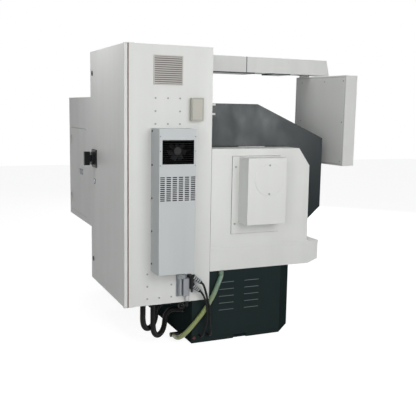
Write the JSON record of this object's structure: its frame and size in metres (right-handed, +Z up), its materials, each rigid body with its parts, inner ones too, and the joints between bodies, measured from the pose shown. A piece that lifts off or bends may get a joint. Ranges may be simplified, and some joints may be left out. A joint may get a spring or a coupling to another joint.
{
  "type": "cnc lathe",
  "caption": "Slant-bed turning machine with chuck, tool turret and tailstock in a sliding-door enclosure, rear electrical cabinet and a swinging operator pendant.",
  "frame": {"origin": "on the floor under the spindle nose, at the crossing of the spindle axis's plane and the nose's front face", "axes": "+X along the spindle axis towards the tailstock, +Y towards the electrical cabinet at the back, +Z up"},
  "size_m": [1.988, 2.008, 2.073],
  "materials": {
    "white_paint": "fine-textured powder coat, satin",
    "slate_paint": "smooth powder coat, low gloss",
    "base_paint": "dark green-black enamel, low gloss",
    "exchanger_paint": "light blue-grey powder coat",
    "cast_paint": "painted casting with ground ways",
    "machined_steel": "turned and ground steel",
    "zinc_plate": "galvanised sheet",
    "black_plastic": "fine-grained",
    "grey_plastic": "moulded, matt",
    "beige_plastic": "moulded, matt",
    "fitting_metal": "die-cast hoods, blasted",
    "belt_rubber": "matt black rubber",
    "gasket_rubber": "red-brown foam rubber",
    "hose_pvc": "translucent green PVC hose",
    "window_glass": "laminated pane",
    "screen_plastic": "dark display behind a clear front",
    "red_plastic": "glossy red",
    "green_plastic": "glossy green",
    "yellow_plastic": "glossy yellow"
  },
  "bodies": {
    "machine": {"base": "base_paint", "base_end_panel": "base_paint", "bed": "cast_paint", "chip_tray": "white_paint", "headstock": "machined_steel", "main_motor": "slate_paint", "drive_belt": "belt_rubber", "end_cover": "white_paint", "actuator_cover": "white_paint", "enclosure": "slate_paint", "rear_housing": "white_paint", "cabinet": "white_paint", "door_gasket": "gasket_rubber", "mounting_plate": "zinc_plate", "filter_grille": "grey_plastic", "junction_box": "beige_plastic", "heat_exchanger": "exchanger_paint", "fan_guard": "black_plastic", "cable_fittings": "fitting_metal", "connector_cable_1": "belt_rubber", "connector_cable_2": "belt_rubber", "conduit_1": "belt_rubber", "conduit_2": "belt_rubber", "coolant_hose": "hose_pvc", "overhead_duct": "white_paint", "screws": "machined_steel", "z_motor": "black_plastic"},
    "cabinet_door": {"cabinet_door": "white_paint", "switch_plate": "black_plastic"},
    "upper_lock": {"upper_lock": "black_plastic"},
    "lower_lock": {"lower_lock": "black_plastic"},
    "switch_handle": {"switch_handle": "black_plastic"},
    "rear_door": {"rear_door": "white_paint"},
    "rear_latch": {"rear_latch": "black_plastic"},
    "front_door": {"front_door": "slate_paint", "door_window": "window_glass"},
    "pendant": {"pendant_case": "white_paint", "pendant_back": "white_paint", "screen": "screen_plastic", "operator_panel": "black_plastic"},
    "stop_mushroom": {"stop_mushroom": "red_plastic"},
    "start_button": {"start_button": "green_plastic"},
    "hold_button": {"hold_button": "yellow_plastic"},
    "feed_knob": {"feed_knob": "black_plastic"},
    "handwheel": {"handwheel": "black_plastic"},
    "spindle": {"spindle": "machined_steel", "chuck": "machined_steel"},
    "jaw_1": {"jaw_1": "machined_steel"},
    "jaw_2": {"jaw_2": "machined_steel"},
    "jaw_3": {"jaw_3": "machined_steel"},
    "motor_rotor": {"motor_rotor": "machined_steel"},
    "exchanger_fan": {"exchanger_fan": "black_plastic"},
    "z_saddle": {"z_saddle": "cast_paint"},
    "z_screw": {"z_screw": "machined_steel"},
    "x_slide": {"x_slide": "cast_paint"},
    "x_screw": {"x_screw": "machined_steel"},
    "turret_disc": {"turret_disc": "machined_steel"},
    "tailstock": {"tailstock": "machined_steel"},
    "quill": {"quill": "machined_steel"},
    "live_centre": {"live_centre": "machined_steel"}
  },
  "joints": [
    {"name": "cabinet_door_hinge", "type": "hinge", "parent": "machine", "child": "cabinet_door", "pos_m": [-0.694, 0.994, 1.195], "axis": [0, 0, 1], "range_deg": [0, 110]},
    {"name": "upper_lock_turn", "type": "hinge", "parent": "cabinet_door", "child": "upper_lock", "pos_m": [0.142, 1, 1.91], "axis": [0, 1, 0], "range_deg": [-90, 0]},
    {"name": "lower_lock_turn", "type": "hinge", "parent": "cabinet_door", "child": "lower_lock", "pos_m": [0.142, 1, 0.482], "axis": [0, 1, 0], "range_deg": [-90, 0]},
    {"name": "switch_turn", "type": "hinge", "parent": "cabinet_door", "child": "switch_handle", "pos_m": [0.083, 1, 1.273], "axis": [0, 1, 0], "range_deg": [0, 90]},
    {"name": "rear_door_hinge", "type": "hinge", "parent": "machine", "child": "rear_door", "pos_m": [1.051, 0.9758, 1.113], "axis": [0, 0, 1], "range_deg": [-110, 0]},
    {"name": "rear_latch_pull", "type": "hinge", "parent": "rear_door", "child": "rear_latch", "pos_m": [0.67, 0.962, 1.131], "axis": [1, 0, 0], "range_deg": [0, 35], "stiffness_Nm_per_rad": 0.5},
    {"name": "front_door_slide", "type": "slide", "parent": "machine", "child": "front_door", "axis": [1, 0, 0], "range_m": [0, 0.56]},
    {"name": "pendant_swivel", "type": "hinge", "parent": "machine", "child": "pendant", "pos_m": [0, -0.773, 1.94], "axis": [0, 0, 1], "range_deg": [-6, 75]},
    {"name": "stop_press", "type": "slide", "parent": "pendant", "child": "stop_mushroom", "axis": [-0.1045, 0.9945, 0], "range_m": [0, 0.006]},
    {"name": "start_press", "type": "slide", "parent": "pendant", "child": "start_button", "axis": [-0.1045, 0.9945, 0], "range_m": [0, 0.004], "stiffness_N_per_m": 800},
    {"name": "hold_press", "type": "slide", "parent": "pendant", "child": "hold_button", "axis": [-0.1045, 0.9945, 0], "range_m": [0, 0.004], "stiffness_N_per_m": 800},
    {"name": "feed_knob_turn", "type": "hinge", "parent": "pendant", "child": "feed_knob", "pos_m": [-0.03299, -0.84183, 1.537], "axis": [-0.1045, 0.9945, 0], "range_deg": [-150, 150]},
    {"name": "handwheel_turn", "type": "hinge", "parent": "pendant", "child": "handwheel", "pos_m": [-0.03796, -0.84235, 1.347], "axis": [-0.1045, 0.9945, 0], "continuous": true},
    {"name": "spindle_spin", "type": "hinge", "parent": "machine", "child": "spindle", "pos_m": [0, 0, 1.18], "axis": [1, 0, 0], "continuous": true},
    {"name": "jaw_1_grip", "type": "slide", "parent": "spindle", "child": "jaw_1", "axis": [0, 0, 1], "range_m": [-0.005, 0.005]},
    {"name": "jaw_2_grip", "type": "slide", "parent": "spindle", "child": "jaw_2", "axis": [0, -0.866, -0.5], "range_m": [-0.005, 0.005]},
    {"name": "jaw_3_grip", "type": "slide", "parent": "spindle", "child": "jaw_3", "axis": [0, 0.866, -0.5], "range_m": [-0.005, 0.005]},
    {"name": "motor_spin", "type": "hinge", "parent": "machine", "child": "motor_rotor", "pos_m": [-0.5, 0, 0.235], "axis": [1, 0, 0], "continuous": true},
    {"name": "exchanger_fan_spin", "type": "hinge", "parent": "machine", "child": "exchanger_fan", "pos_m": [-0.82, 0.678, 1.386], "axis": [1, 0, 0], "continuous": true},
    {"name": "z_slide", "type": "slide", "parent": "machine", "child": "z_saddle", "axis": [1, 0, 0], "range_m": [-0.075, 0.23]},
    {"name": "z_screw_spin", "type": "hinge", "parent": "machine", "child": "z_screw", "pos_m": [0.5, 0.40729, 1.16162], "axis": [1, 0, 0], "continuous": true},
    {"name": "x_feed", "type": "slide", "parent": "z_saddle", "child": "x_slide", "axis": [0, 0.7071, 0.7071], "range_m": [-0.115, 0]},
    {"name": "x_screw_spin", "type": "hinge", "parent": "z_saddle", "child": "x_screw", "pos_m": [0.442, 0.35568, 1.24859], "axis": [0, 0.7071, 0.7071], "continuous": true},
    {"name": "turret_index", "type": "hinge", "parent": "x_slide", "child": "turret_disc", "pos_m": [0.293, 0.19516, 1.37516], "axis": [1, 0, 0], "continuous": true},
    {"name": "tailstock_slide", "type": "slide", "parent": "machine", "child": "tailstock", "axis": [1, 0, 0], "range_m": [-0.22, 0.02]},
    {"name": "quill_feed", "type": "slide", "parent": "tailstock", "child": "quill", "axis": [1, 0, 0], "range_m": [-0.1, 0]},
    {"name": "live_centre_spin", "type": "hinge", "parent": "quill", "child": "live_centre", "pos_m": [0.66, 0, 1.18], "axis": [1, 0, 0], "continuous": true}
  ],
  "couplings": [
    {"joint": "motor_spin", "follows": "spindle_spin", "ratio": 1.5333},
    {"joint": "jaw_2_grip", "follows": "jaw_1_grip", "ratio": 1},
    {"joint": "jaw_3_grip", "follows": "jaw_1_grip", "ratio": 1},
    {"joint": "z_screw_spin", "follows": "z_slide", "rad_per_m": 628.32},
    {"joint": "x_screw_spin", "follows": "x_feed", "rad_per_m": 628.32}
  ]
}
